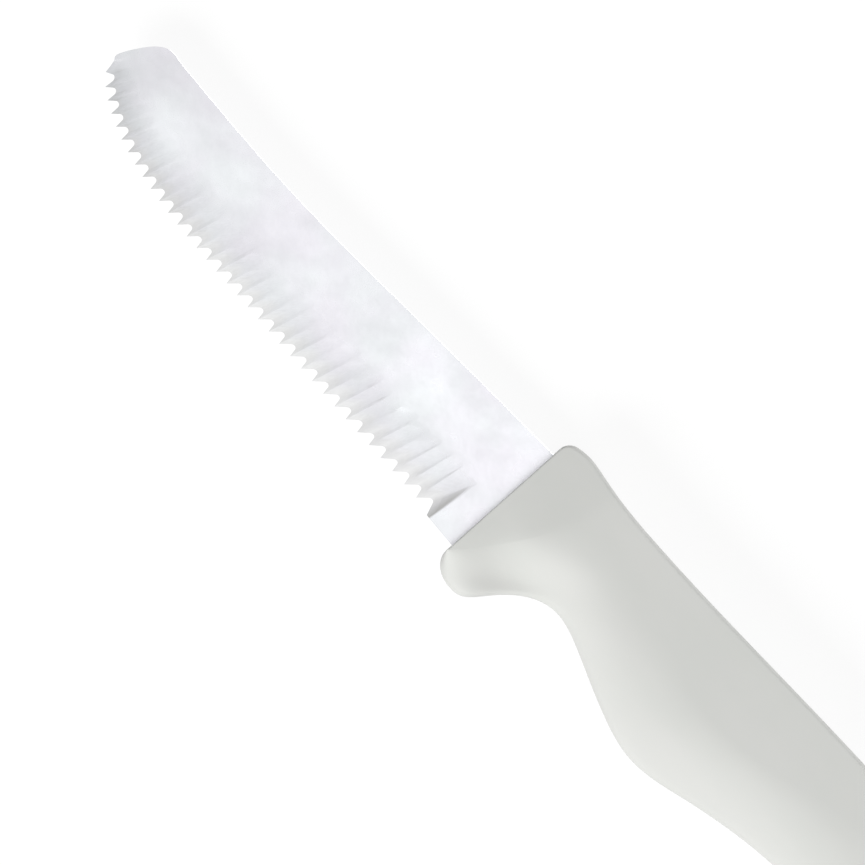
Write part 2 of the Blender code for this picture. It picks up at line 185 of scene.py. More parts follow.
# Mesh fineness
STEPS_PER_ARC = 8
EDGE_STEPS = 400
OUTLINE_STEPS = 60
NOSE_STEPS = 52
STAMPED_EDGE_STEPS = 3
HOLE_STEPS = 48
FLUTE_STEPS = 7
FLUTE_STEP_BEND = 0.8          # below 1 the steps up a flute get shorter towards the face
HEEL_WALL_STEPS = 6
HEEL_WALL_ENDS = (1.0, 0.9, 0.75, 0.55, 0.3)    # places of its sections in the plain heel, as shares
ROLL_STEPS = 24
SIDE_STEPS = 6
CORNER_ANGLE = 5
SECTION_GAP_FRONT = 0.0006
SECTION_GAP_REAR = 0.0010
CUT_MARGIN = 0.0010
SAME_HEIGHT = 1e-7             # the ends of an edge that lies level differ by less
QUITE_FLAT = 0.999999          # the upright part of a flat side's normal, at least
BLADE_CREASE = 16              # degrees from which an edge stays sharp
HANDLE_CREASE = 40

# Noise values between which a finish changes: nearly the whole range of the noise, or its middle
NOISE_RANGE = (0.3, 0.7)
NOISE_MIDDLE = (0.35, 0.65)

# Finish of the steel, with painted shade and painted highlights in its colour: a pair of depths under the
# blade's face says where a change begins and where it ends
STEEL_WARM = (0.815, 0.805, 0.850, 1)
STEEL_COOL = (0.810, 0.830, 0.850, 1)
STEEL_THIN = (0.815, 0.815, 0.810, 1)
# painted shade on the steep walls of the flutes
STEEL_PAINTED_SHADE = (0.36, 0.355, 0.335, 1)
GRIND_DEPTHS = (0.00001, 0.00025)
BAND_DEPTHS = (0.00002, 0.0010)
THIN_DEPTHS = (0.0006, 0.0011)
THIN_SHARE = 0.8
UPPER_SIDE = 0.3               # the upright part of the normal, from which a place is on the ground side
WALL_SLOPE = (0.985, 0.84)     # the same on the steep walls: where their painted shade begins and where it is full
WALL_SHADE = 0.95
STREAK_RANGE = (0.38, 0.65)
STREAK_SHADE = (0.10, 0.65)    # share of that painted shade between and in the streaks
HEEL_WALL_SLOPE = (0.990, 0.84)
HEEL_WALL_SHADE = 0.90
HEEL_WALL_ZONE = (0.0105, 0.0088)       # distances from the handle between which the heel's painted shade sets in
TIP_SHADE_REACH = 0.022         # painted shade: towards the nose the blade is darker
TIP_SHADE = 0.88
# painted shade in the ground band, deeper towards the nose
TIP_BAND_SHADE_REACH = 0.045
BAND_PAINTED_SHADE = 0.94
TIP_BAND_PAINTED_SHADE = 0.80
HAZE_LIGHT = (0.960, 1.030)
SPECK_LIGHT = (-0.015, 0.015)
LINE_LIGHT = (0.95, 1.0)
STEEL_ROUGHNESS = (0.20, 0.30)
GROUND_ROUGHNESS = 0.08        # what the grind adds to it
PAINTED_HIGHLIGHT_PATCHES = (           # painted highlights: distance from the tip, height, half sizes, gain in brightness
    ((0.0158, 0.0073), (0.0090, 0.0050), 0.055),
    ((0.0320, 0.0090), (0.0140, 0.0060), 0.030),
    ((0.0520, 0.0100), (0.0160, 0.0080), 0.055),
    ((0.0850, 0.0110), (0.0180, 0.0110), 0.080),
)
CLOUD_SIZE = 0.011
HAZE_SIZE = 0.006
SPECK_SIZE = 0.0011
STREAK_SIZE = 0.0016
LINE_SIZE = 0.00012
LINE_DEPTH = 0.000006
GRAIN_SIZE = 0.00009
GRAIN_DEPTH = 0.000002
GRAIN_STRENGTH = 0.6

# Finish of the plastic
PLASTIC_GREY = (0.690, 0.700, 0.672, 1)
PLASTIC_PALE = (0.712, 0.716, 0.692, 1)
FLOW_SIZE = 0.012
RUBBED_SIZE = 0.004
PLASTIC_ROUGHNESS = (0.40, 0.50)
PLASTIC_SHINE = 0.45
MOULD_GRAIN_SIZE = 0.00022
MOULD_GRAIN_DEPTH = 0.000006
MOULD_GRAIN_STRENGTH = 0.5
SEAM_WIDTHS = (0.00004, 0.00016)        # half the parting line's width, at its top and at its foot
SEAM_HEIGHT = 0.00004
SEAM_STRENGTH = 0.6

# Camera: straight above the knife, which lies across the picture from the upper left to the lower right
VIEW_CENTRE = (-0.01803, 0.00417)      # point of the knife in the middle of the picture
VIEW_WIDTH = 0.1611
VIEW_TURN = math.radians(47.1)
CAMERA_HEIGHT = 2.5
CAMERA_REACH = 100.0
SENSOR_WIDTH = 36.0

# Lights, aimed at the middle of the picture: direction, distance, width, height and strength in watts
KEY_DIRECTION = (0.10, -0.76, 0.64)
KEY_DISTANCE = 0.90
KEY_SIZE = (0.70, 0.50)
KEY_POWER = 8.25
FILL_DIRECTION = (0.10, 0.98, 0.14)
FILL_DISTANCE = 0.90
FILL_SIZE = (0.70, 0.20)
FILL_POWER = 4.7
TOP_DIRECTION = (0.28, 0.10, 0.95)
TOP_DISTANCE = 0.45
TOP_SIZE = (0.40, 0.20)
TOP_POWER = 0.12
WORLD_LIGHT = 0.172
FLOOR_SIZE = 40.0
FLOOR_ALBEDO = 0.35
FLOOR_SHADOW_SHARE = 0.15      # how much of the floor's white, as seen, comes from the light that falls on it
FLOOR_GLOW = 0.90
FLOOR_ROUGHNESS = 0.9


# Curves, as in the CAD source

def between(start, end, *shares):
    """Points between two points; each share gives how far along, and how much of the rise."""
    (x0, y0), (x1, y1) = start, end
    return [(x0 + (x1 - x0) * along, y0 + (y1 - y0) * rise) for along, rise in shares]


def spline(knots, values):
    """A natural cubic spline through values at knots, returned as a function."""
    knots = np.array(knots, dtype=float)
    values = np.array(values, dtype=float)
    gap = np.diff(knots)
    slope = np.diff(values, axis=0) / (gap if values.ndim == 1 else gap[:, None])
    size = len(knots)
    system = np.eye(size)
    right = np.zeros_like(values)
    for i in range(1, size - 1):
        system[i, i - 1:i + 2] = gap[i - 1], 2 * (gap[i - 1] + gap[i]), gap[i]
        right[i] = 6 * (slope[i] - slope[i - 1])
    bend = np.linalg.solve(system, right)

    def value(t):
        i = int(np.clip(np.searchsorted(knots, t) - 1, 0, size - 2))
        before = (t - knots[i]) / gap[i]
        after = 1 - before
        sag = (after ** 3 - after) * bend[i] + (before ** 3 - before) * bend[i + 1]
        return after * values[i] + before * values[i + 1] + sag * gap[i] ** 2 / 6

    return value


def height_line(points):
    """A smooth line through a few points, as a function of x."""
    xs, ys = zip(*points)
    return spline(xs, ys)


def smooth_path(points, count):
    """Points spread evenly along one smooth curve through a few points."""
    points = np.array(points)
    steps = np.linalg.norm(np.diff(points, axis=0), axis=1)
    chord = np.concatenate([[0.0], np.cumsum(steps)])
    curve = spline(chord, points)
    return [Vector(curve(t)) for t in np.linspace(0.0, chord[-1], count)]


def corner_drop(distance, length, height=None):
    """How far a rounded corner falls short of its square corner, at a distance from the end."""
    share = max(0.0, 1 - distance / length)
    return (height or length) * (1 - math.sqrt(1 - share ** 2))


# Meshes

def finish_mesh(name, shape):
    bmesh.ops.recalc_face_normals(shape, faces=shape.faces)
    mesh = bpy.data.meshes.new(name)
    shape.to_mesh(mesh)
    shape.free()
    item = bpy.data.objects.new(name, mesh)
    bpy.context.collection.objects.link(item)
    return item


def prism(name, outline, low, high, edge_radius=0.0):
    """A flat outline in XY extruded from z = low to z = high, with its long edges rounded."""
    shape = bmesh.new()
    base = [shape.verts.new((x, y, low)) for x, y in outline]
    face = shape.faces.new(base)
    top = bmesh.ops.extrude_face_region(shape, geom=[face])["geom"]
    raised = [v for v in top if isinstance(v, bmesh.types.BMVert)]
    bmesh.ops.translate(shape, verts=raised, vec=(0, 0, high - low))
    if edge_radius:
        bmesh.ops.recalc_face_normals(shape, faces=shape.faces)
        rims = [e for e in shape.edges if abs(e.verts[0].co.z - e.verts[1].co.z) < SAME_HEIGHT]
        bmesh.ops.bevel(shape, geom=rims, offset=edge_radius, segments=STAMPED_EDGE_STEPS, profile=0.5,
                        affect="EDGES")
    return finish_mesh(name, shape)


def loft(name, rings):
    """A closed solid through rings that all have the same number of points."""
    shape = bmesh.new()
    rows = [[shape.verts.new(point) for point in ring] for ring in rings]
    for row, following in zip(rows, rows[1:]):
        for i in range(len(row)):
            j = (i + 1) % len(row)
            shape.faces.new((row[i], row[j], following[j], following[i]))
    shape.faces.new(rows[0])
    shape.faces.new(rows[-1])
    return finish_mesh(name, shape)


def cut(target, cutters):
    """Takes the cutters out of the target's mesh and deletes them."""
    for cutter in cutters:
        modifier = target.modifiers.new("cut by " + cutter.name, "BOOLEAN")
        modifier.operation = "DIFFERENCE"
        modifier.solver = "EXACT"
        modifier.object = cutter
    bpy.context.view_layer.update()
    evaluated = target.evaluated_get(bpy.context.evaluated_depsgraph_get())
    cut_mesh = bpy.data.meshes.new_from_object(evaluated)
    if not cut_mesh.vertices:
        raise RuntimeError("nothing is left of " + target.name)
    target.modifiers.clear()
    target.data = cut_mesh
    for cutter in cutters:
        bpy.data.objects.remove(cutter, do_unlink=True)


def shade(item, angle, keep_flats=False):
    """Smooth shading with sharp creases; keep_flats also keeps the large flat sides quite flat."""
    mesh = item.data
    mesh.shade_smooth()
    mesh.set_sharp_from_angle(angle=math.radians(angle))
    if keep_flats:
        shape = bmesh.new()
        shape.from_mesh(mesh)
        for edge in shape.edges:
            flat = [abs(face.normal.z) > QUITE_FLAT for face in edge.link_faces]
            if any(flat) and not all(flat):
                edge.smooth = False
        shape.to_mesh(mesh)
        shape.free()


# Blade

def from_tip(distance, height):
    return (distance - BLADE_LENGTH, height)


def edge_path(count):
    """The line of the tooth tips, from the plain heel to the corner under the nose."""
    points = [
        (-RICASSO, HEEL_BOTTOM + EDGE_STEP),
        from_tip(EDGE_RISE_FROM_TIP, EDGE_RISE_TOP),
        from_tip(BELLY_FROM_TIP, BELLY_TOP),
        from_tip(CHIN_FROM_TIP, CHIN_TOP),
        from_tip(LAST_TIP_FROM_TIP, LAST_TIP_TOP),
        from_tip(*CHIN_CORNER[1]),
    ]
    points[1:1] = between(points[0], points[1], (0.35, 0.18), (0.70, 0.53))
    return smooth_path(points, count)


def blank_outline():
    """The stamped blank: spine, nose, the edge before grinding, and the tang."""
    heel = (0.0, HEEL_TOP)
    dip = from_tip(SPINE_DIP_FROM_TIP, SPINE_DIP)
    shoulder = from_tip(SHOULDER_FROM_TIP, SHOULDER_TOP)
    foremost = from_tip(0.0, NOSE_HEIGHT)
    spine = [heel, *between(heel, dip, (0.5, 0.56)), dip, *between(dip, shoulder, (0.55, 0.42)), shoulder]
    nose = between(shoulder, foremost, (0.40, 0.00), (0.56, 0.13), (0.79, 0.49), (0.93, 0.78), (0.98, 0.91))
    front = [shoulder, *nose, foremost, from_tip(*CHIN_CORNER[0])]
    upper = smooth_path(spine, OUTLINE_STEPS) + smooth_path(front, NOSE_STEPS)[1:]
    tips = edge_path(OUTLINE_STEPS)
    lower = []
    for i, tip in enumerate(tips):
        before = tips[max(i - 1, 0)]
        after = tips[min(i + 1, len(tips) - 1)]
        along = (after - before).normalized()
        narrowing = min(1.0, EDGE_STEP_FADE * (1 - i / (len(tips) - 1)))
        lower.append(tip + Vector((along.y, -along.x)) * -EDGE_STEP * narrowing)
    lower = [Vector((0.0, HEEL_BOTTOM)), Vector((-RICASSO, HEEL_BOTTOM + HEEL_RISE)), *lower[1:]]
    return [tuple(p) for p in upper] + [tuple(p) for p in reversed(lower)] + tang_outline(0.0)[1:-1]


def tang_outline(room, mouth=0.0):
    """The part of the blank inside the handle, grown by some room all round."""
    step = HEEL_DEPTH + room
    end = TANG_LENGTH + room
    front = TANG_HEIGHT_FRONT / 2 + room
    rear = TANG_HEIGHT_REAR / 2 + room
    return [
        (-mouth, HEEL_BOTTOM - room),
        (step, HEEL_BOTTOM - room),
        (step, TANG_CENTRE - front),
        (end, TANG_CENTRE - rear),
        (end, TANG_CENTRE + rear),
        (step, TANG_CENTRE + front),
        (step, HEEL_TOP + room),
        (-mouth, HEEL_TOP + room),
    ]


def tang_pins(name, radius, height):
    """Round pins on the tang's holes, used as drills for the tang and as plastic in the slot."""
    pins = []
    for number, place in enumerate(TANG_HOLES, 1):
        shape = bmesh.new()
        bmesh.ops.create_cone(shape, cap_ends=True, segments=HOLE_STEPS, radius1=radius, radius2=radius,
                              depth=height)
        bmesh.ops.translate(shape, verts=shape.verts, vec=(place, TANG_CENTRE, 0.0))
        pins.append(finish_mesh(f"{name}_{number}", shape))
    return pins


def tooth_profile(pitch, depth):
    """One notch, from a tooth tip to the next: a long flank, a round root and a steep wall."""
    radius = NOTCH_RADIUS
    centre_y = depth - radius
    centre_x = pitch - centre_y * math.tan(TOOTH_WALL_LEAN) - radius / math.cos(TOOTH_WALL_LEAN)
    reach = math.hypot(centre_x, centre_y)
    flank = math.atan2(centre_y, centre_x) + math.asin(radius / reach)
    start = flank + math.pi / 2
    end = TOOTH_WALL_LEAN
    points = [(0.0, 0.0)]
    for i in range(STEPS_PER_ARC + 1):
        angle = start + (end - start) * i / STEPS_PER_ARC
        points.append((centre_x + radius * math.cos(angle), centre_y + radius * math.sin(angle)))
    return points


def tooth_pitches(toothed):
    """The teeth's lengths, shorter towards the nose, scaled to fill the toothed part of the edge."""
    count = round(toothed / ((PITCH_AT_HEEL + PITCH_AT_TIP) / 2))
    pitches = np.linspace(PITCH_AT_HEEL, PITCH_AT_TIP, count)
    pitches[-1] *= LAST_PITCH_GAIN
    return pitches * (toothed / pitches.sum())


def flute_stations(length):
    """The flutes' stations, each a distance along the edge, a height over the tooth tips, a reach and a pull.

    The reach is the flute's own share of the usual length. The pull shifts its upper end along the edge, so
    that the steep wall closes or widens. The root and the end of the first flute come as a pair behind them.
    """
    pitches = tooth_pitches(length - HEEL_RUN - NOSE_RUN)
    depths = np.linspace(TOOTH_DEPTH_AT_HEEL, TOOTH_DEPTH_AT_TIP, len(pitches))
    chance = random.Random(FLUTE_SEED)
    stations = []
    start = HEEL_RUN
    for pitch, depth in zip(pitches, depths):
        reach = 1 + chance.uniform(-FLUTE_UNEVENNESS, FLUTE_UNEVENNESS)
        profile = tooth_profile(pitch, depth)
        end = start + pitch
        root = end - max(profile, key=lambda place: place[1])[0]
        wall = start
        closing = at_share(WALL_CLOSING, start / length)
        if not stations:
            first_flute = (root, end)
            wall = -HEEL_WALL_BACK
            closing = HEEL_WALL_CLOSING
        for along, height in reversed(profile):
            place = end - along
            easing = (root - wall) * along / (end - root)
            stations.append((place, height, reach, closing * min(place - wall, easing)))
        start = end
    return stations, first_flute


def heel_wall_stations(wall_end, wall_top):
    """The stations of the first flute's wall, from its start in the plain heel to the first notch."""
    heel_drop = EDGE_STEP - HEEL_RISE
    stations = []
    for share in HEEL_WALL_ENDS:
        pull = HEEL_WALL_CLOSING * (1 - share) * HEEL_WALL_BACK
        stations.append((-share * HEEL_WALL_BACK, -heel_drop - CUT_MARGIN, 1.0, pull))
    for i in range(HEEL_WALL_STEPS, 0, -1):
        share = 1 - i / HEEL_WALL_STEPS
        pull = HEEL_WALL_CLOSING * (share * wall_end + HEEL_WALL_BACK)
        stations.append((share * wall_end, share * wall_top - (1 - share) * heel_drop, 1.0, pull))
    return stations


def flute_runout(distance, height, reach, first_flute, length):
    """How far up the blade the wheel runs: the wall at the heel is longer, the flutes at the nose shorter."""
    share = distance / length
    runout = at_share((FLUTE_LENGTH, FLUTE_LENGTH_AT_NOSE), nose_turn(share)) * reach
    runout += height * (1 - at_share(FLUTE_MERGE, share))
    return float(np.interp(distance, first_flute, (HEEL_WALL_LENGTH, runout)))


def grinding_stations():
    """Places along the edge: point, share of the edge, depth, height over the tooth tips, runout and pull."""
    path = edge_path(EDGE_STEPS)
    steps = [(b - a).length for a, b in zip(path, path[1:])]
    travelled = np.concatenate([[0.0], np.cumsum(steps)])
    length = travelled[-1]
    flutes, first_flute = flute_stations(length)
    heel_wall = heel_wall_stations(*flutes[0][:2])
    nose = [(length - NOSE_RUN / 2, NOSE_HOLLOW, 1.0, 0.0), (length, 0.0, 1.0, 0.0)]
    xs = [p.x for p in path]
    ys = [p.y for p in path]
    into_heel = (path[0] - path[1]).normalized()
    places = []
    for distance, height, reach, pull in [*heel_wall, *flutes, *nose]:
        point = Vector((np.interp(distance, travelled, xs), np.interp(distance, travelled, ys)))
        point += into_heel * max(0.0, -distance)
        runout = flute_runout(distance, height, reach, first_flute, length)
        places.append((point, distance / length, grind_depth(distance, length), height, runout, pull))
    return places


def grind_depth(distance, length):
    """How deep the wheel goes at a place along the edge, as a share of the blade's thickness."""
    from_wall = 1 - min(1.0, (distance + HEEL_WALL_BACK) / HEEL_WALL_WIDTH)
    heel = 1 - from_wall ** HEEL_WALL_BEND
    nose = min(1.0, (length - distance) / NOSE_FADE) ** NOSE_FADE_BEND
    return heel * nose * at_share((1.0, NOSE_GRIND_DEPTH), nose_turn(distance / length))


def nose_turn(share):
    """How far the flutes have turned towards the nose, from 0 on the straight edge to 1 at the end."""
    return max(0.0, (share - NOSE_TURN_START) / (1 - NOSE_TURN_START)) ** NOSE_TURN_BEND


def at_share(pair, share):
    """The value at a share of the way from the heel to the nose."""
    return pair[0] + (pair[1] - pair[0]) * share


def flute_section(notch, runout, depth, arc, hollow):
    """The wheel's section along one flute, thin at the edge and running out on the blade's face."""
    face = BLADE_THICKNESS / 2
    full = (BLADE_THICKNESS - EDGE_THICKNESS) * depth
    above = face + CUT_MARGIN
    below = -face - CUT_MARGIN
    outside = -3 * CUT_MARGIN
    section = [(runout, above)]
    for i in range(FLUTE_STEPS, -1, -1):
        share = (i / FLUTE_STEPS) ** FLUTE_STEP_BEND
        sunk = full * (1 - share ** arc) ** hollow
        overrun = FLUTE_OVERRUN * (1 - depth * (1 - share))
        section.append((notch + (runout - notch) * share, face - sunk + overrun))
    section += [(notch, below), (outside, below), (outside, above)]
    return section


def grinding_cutter():
    """All flutes as one ruled solid: its underside is what the formed wheel leaves."""
    rings = []
    for point, share, depth, notch, runout, pull in grinding_stations():
        turn = nose_turn(share)
        lean = at_share((FLUTE_LEAN, FLUTE_LEAN_AT_NOSE), turn)
        lean -= (FLUTE_LEAN - FLUTE_LEAN_AT_HEEL) * max(0.0, 1 - max(0.0, share) / HEEL_TURN_END)
        climb = Vector((math.sin(lean), math.cos(lean)))
        aside = Vector((math.cos(lean), -math.sin(lean)))
        arc = at_share(FLUTE_ARC, share)
        section = flute_section(notch, runout, depth, arc, at_share(FLUTE_HOLLOW, share))
        ring = []
        for rise, z in section:
            up = max(0.0, (rise - notch) / (runout - notch))
            ring.append((*(point + climb * rise + aside * pull * up), z))
        rings.append(ring)
    return loft("grinding_wheel", rings)


def make_blade():
    half = BLADE_THICKNESS / 2
    blade = prism("knife_blade", blank_outline(), -half, half, BLANK_EDGE_RADIUS)
    drills = tang_pins("tang_drill", TANG_HOLE_RADIUS, BLADE_THICKNESS + 2 * CUT_MARGIN)
    cut(blade, [*drills, grinding_cutter()])
    shade(blade, BLADE_CREASE, keep_flats=True)
    return blade


# Handle

def handle_lines():
    """Spine, underside and land line of the handle as heights over x."""
    straight = (SPINE_STRAIGHT_X, SPINE_STRAIGHT)
    crest = (SPINE_CREST_X, SPINE_CREST)
    spine = [
        (0.0, SPINE_FRONT),
        crest,
        *between(crest, straight, (0.24, 0.25), (0.56, 0.73)),
        straight,
        (BELLY_X, SPINE_STRAIGHT),
        (REAR_WAIST_X, SPINE_REAR),
        (HANDLE_LENGTH, SPINE_BUTT),
    ]
    guard = (GUARD_X, GUARD_BOTTOM)
    waist = (WAIST_X, WAIST_BOTTOM)
    belly = (BELLY_X, BELLY_BOTTOM)
    rear = (REAR_WAIST_X, REAR_WAIST_BOTTOM)
    butt = (HANDLE_LENGTH, BUTT_BOTTOM)
    underside = [
        (0.0, GUARD_FRONT),
        guard,
        *between(guard, waist, (0.20, 0.07), (0.41, 0.44), (0.68, 0.82)),
        waist,
        *between(waist, belly, (0.28, 0.21), (0.72, 0.80)),
        belly,
        *between(belly, rear, (0.34, 0.37), (0.75, 0.88)),
        rear,
        *between(rear, butt, (0.55, 0.60)),
        butt,
    ]
    corner = (0.0, LAND_FRONT)
    bolster = (BOLSTER_LENGTH, LAND_BOLSTER)
    land = [
        corner,
        *between(corner, bolster, (0.50, 0.48)),
        bolster,
        (LAND_CREST_X, LAND_CREST),
        ((WAIST_X + BELLY_X) / 2, LAND_WAIST),
        (BELLY_X, LAND_BELLY),
        (REAR_WAIST_X, LAND_REAR),
        (HANDLE_LENGTH, LAND_BUTT),
    ]
    return height_line(spine), height_line(underside), height_line(land)


def half_thickness(x):
    """Half the handle's thickness, before the facets are taken off."""
    half = HANDLE_THICKNESS / 2 - corner_drop(x, FRONT_EDGE_RADIUS)
    return half - corner_drop(HANDLE_LENGTH - x, BUTT_EDGE_RADIUS)


def facet_drop(x, y, land):
    """How far a bolster facet lies under the flat side, from the land line and the bolster's rear on."""
    rise = (LAND_BOLSTER - LAND_FRONT) / BOLSTER_LENGTH
    from_land = (y - land) / math.hypot(1.0, rise)
    from_rear = BOLSTER_LENGTH - x
    overlap = max(0.0, FACET_CORNER - abs(from_land - from_rear))
    inside = min(from_land, from_rear) - overlap ** 2 / (4 * FACET_CORNER)
    if inside < FACET_BLEND:
        inside = max(0.0, inside + FACET_BLEND) ** 2 / (4 * FACET_BLEND)
    return FACET_SLOPE * inside


def pinched(x, y, place, size, turn, share):
    """The share of the thickness that one hollow takes away at a place."""
    across, up = x - place[0], y - place[1]
    along = (across * math.cos(turn) + up * math.sin(turn)) / size[0]
    aside = (up * math.cos(turn) - across * math.sin(turn)) / size[1]
    return share * math.exp(-(along ** 2 + aside ** 2) / 2)


def scooped(x, y):
    """The share of the thickness that the hollows of the finger recess leave at a place."""
    guard = pinched(x, y, GUARD_HOLLOW_PLACE, GUARD_HOLLOW_SIZE, GUARD_HOLLOW_TURN, GUARD_HOLLOW_SHARE)
    finger = pinched(x, y, FINGER_HOLLOW_PLACE, FINGER_HOLLOW_SIZE, FINGER_HOLLOW_TURN, FINGER_HOLLOW_SHARE)
    return 1.0 - guard - finger


def roll_points(x, bottom, land, fullness):
    """The roll of a section, from the underside's middle up to the land line."""
    thick = half_thickness(x)
    blunt = min(UNDERSIDE_RADIUS, (land - bottom) / 2)
    points = []
    for i in range(ROLL_STEPS + 1):
        sine = math.sin(math.pi / 2 * (1 - i / ROLL_STEPS))
        y = land - (land - bottom) * sine ** (2 / max(fullness, ROLL_START))
        left = thick * scooped(x, y)
        narrowing = 1 - (blunt / left) ** fullness
        short = min(1.0, max(0.0, 1 - (y - bottom) / blunt))
        wide = left * (1 - narrowing * sine ** 2) ** (1 / fullness)
        points.append((y, wide * math.sqrt(1 - short ** 2)))
    return points


def section_half(x, top, bottom, land, fullness):
    """One side of a section, from the underside's middle up to the spine's middle."""
    thick = half_thickness(x)
    points = roll_points(x, bottom, land, fullness)
    radius = min(SPINE_EDGE_RADIUS, SPINE_EDGE_LIMIT * thick)
    for i in range(1, SIDE_STEPS + 1):
        y = land + (top - radius - land) * i / SIDE_STEPS
        points.append((y, thick * scooped(x, y) - facet_drop(x, y, land)))
    edge = points[-1][1]
    for i in range(1, STEPS_PER_ARC + 1):
        angle = math.pi / 2 * i / STEPS_PER_ARC
        points.append((top - radius + radius * math.sin(angle), edge - radius + radius * math.cos(angle)))
    return points


def handle_stations():
    """Places of the sections: close together at the ends, where the outline turns fast."""
    turns = [1 - math.cos(math.radians(angle)) for angle in range(0, 91, CORNER_ANGLE)]
    # The small edge radii at both ends need only a few of the turns
    front = {GUARD_FRONT_LENGTH * turn for turn in turns}
    front |= {FRONT_EDGE_RADIUS * turn for turn in turns[1::3]}
    butt = {HANDLE_LENGTH - BUTT_RADIUS * turn for turn in turns}
    butt |= {HANDLE_LENGTH - BUTT_EDGE_RADIUS * turn for turn in turns[1:3]}
    near = round((BELLY_X - max(front)) / SECTION_GAP_FRONT)
    far = round((min(butt) - BELLY_X) / SECTION_GAP_REAR)
    body = set(np.linspace(max(front), BELLY_X, near)[1:])
    body |= set(np.linspace(BELLY_X, min(butt), far)[1:-1])
    return sorted(float(x) for x in front | body | butt)


def roll_line():
    """How full the roll is, as a smooth value over x."""
    return height_line([
        (0.0, ROLL_GUARD),
        (ROLL_NECK_X, ROLL_NECK),
        (BELLY_X, ROLL_BELLY),
        (REAR_WAIST_X, ROLL_REAR_WAIST),
        (HANDLE_LENGTH, ROLL_BUTT),
    ])


def handle_rings():
    spine, underside, land = handle_lines()
    fullness = roll_line()
    rings = []
    for x in handle_stations():
        to_butt = HANDLE_LENGTH - x
        top = spine(x) - corner_drop(x, FRONT_TOP_RADIUS) - corner_drop(to_butt, BUTT_RADIUS)
        bottom = underside(x) + corner_drop(x, GUARD_FRONT_LENGTH, GUARD_FRONT_HEIGHT)
        bottom += corner_drop(to_butt, BUTT_RADIUS)
        level = min(land(x), top - 2 * SPINE_EDGE_RADIUS)
        side = section_half(x, top, bottom, level, fullness(x))
        loop = side + [(y, -z) for y, z in reversed(side[1:])]
        fade = max(0.0, 1 - x / BOLSTER_LENGTH)
        rings.append([(x + FRONT_LEAN * y * fade, y, z) for y, z in loop])
    return rings


def tang_slot():
    """The space that the tang fills in the plastic, with the pins that fill the tang's holes."""
    half = BLADE_THICKNESS / 2 + CLEARANCE
    slot = prism("tang_slot", tang_outline(CLEARANCE, mouth=CUT_MARGIN), -half, half)
    cut(slot, tang_pins("plastic_pin", TANG_HOLE_RADIUS - CLEARANCE, 4 * half))
    return slot


def make_handle():
    handle = loft("knife_handle", handle_rings())
    cut(handle, [tang_slot()])
    shade(handle, HANDLE_CREASE)
    return handle


# Materials

class Nodes:
    """Short helpers round one material's node tree."""

    def __init__(self, name):
        self.material = bpy.data.materials.new(name)
        self.material.use_nodes = True
        self.tree = self.material.node_tree
        self.shader = self.tree.nodes["Principled BSDF"]
        self.place = self.add("ShaderNodeTexCoord").outputs["Object"]

    def add(self, kind, **settings):
        node = self.tree.nodes.new(kind)
        for key, value in settings.items():
            setattr(node, key, value)
        return node

    def link(self, source, target):
        self.tree.links.new(source, target)

    def feed(self, socket, value):
        if isinstance(value, bpy.types.NodeSocket):
            self.link(value, socket)
        else:
            socket.default_value = value

    def axes(self, vector):
        """The parts of a vector, as outputs named X, Y and Z."""
        node = self.add("ShaderNodeSeparateXYZ")
        self.link(vector, node.inputs[0])
        return node.outputs

    def noise(self, size, detail=3.0, roughness=0.5, stretch=(1, 1, 1), turn=0.0):
        """Smooth noise whose blobs are about size metres across, times the stretch along the turned axes."""
        place = self.add("ShaderNodeMapping", vector_type="TEXTURE")
        self.link(self.place, place.inputs["Vector"])
        place.inputs["Rotation"].default_value = (0, 0, turn)
        place.inputs["Scale"].default_value = tuple(size * along for along in stretch)
        node = self.add("ShaderNodeTexNoise")
        self.link(place.outputs["Vector"], node.inputs["Vector"])
        node.inputs["Scale"].default_value = 1.0
        node.inputs["Detail"].default_value = detail
        node.inputs["Roughness"].default_value = roughness
        return node.outputs["Fac"]

    def patch(self, centre, size):
        """1 at a place on the face, falling softly to 0 at an ellipse of the given half sizes round it."""
        place = self.add("ShaderNodeMapping", vector_type="TEXTURE")
        self.link(self.place, place.inputs["Vector"])
        place.inputs["Location"].default_value = centre
        place.inputs["Scale"].default_value = (*size, 1.0)
        distance = self.add("ShaderNodeVectorMath", operation="LENGTH")
        self.link(place.outputs["Vector"], distance.inputs[0])
        return self.remap(distance.outputs["Value"], 0.0, 1.0, 1.0, 0.0, smooth=True)

    def remap(self, value, low, high, to_low, to_high, smooth=False):
        node = self.add("ShaderNodeMapRange", interpolation_type="SMOOTHSTEP" if smooth else "LINEAR")
        for name, number in zip(("Value", "From Min", "From Max", "To Min", "To Max"),
                                (value, low, high, to_low, to_high)):
            self.feed(node.inputs[name], number)
        return node.outputs["Result"]

    def math(self, operation, first, second=0.0):
        node = self.add("ShaderNodeMath", operation=operation)
        self.feed(node.inputs[0], first)
        self.feed(node.inputs[1], second)
        return node.outputs[0]

    def mix(self, share, first, second):
        """A blend of two colours; a Mix node's colour sockets share their names, so they go by number."""
        node = self.add("ShaderNodeMix", data_type="RGBA")
        self.feed(node.inputs["Factor"], share)
        self.feed(node.inputs[6], first)
        self.feed(node.inputs[7], second)
        return node.outputs[2]

    def scale_colour(self, colour, factor):
        node = self.add("ShaderNodeVectorMath", operation="SCALE")
        self.link(colour, node.inputs[0])
        self.link(factor, node.inputs["Scale"])
        return node.outputs[0]

    def bump(self, height, distance, strength=1.0, before=None):
        node = self.add("ShaderNodeBump")
        node.inputs["Distance"].default_value = distance
        self.feed(node.inputs["Strength"], strength)
        self.link(height, node.inputs["Height"])
        if before is not None:
            self.link(before, node.inputs["Normal"])
        return node.outputs["Normal"]


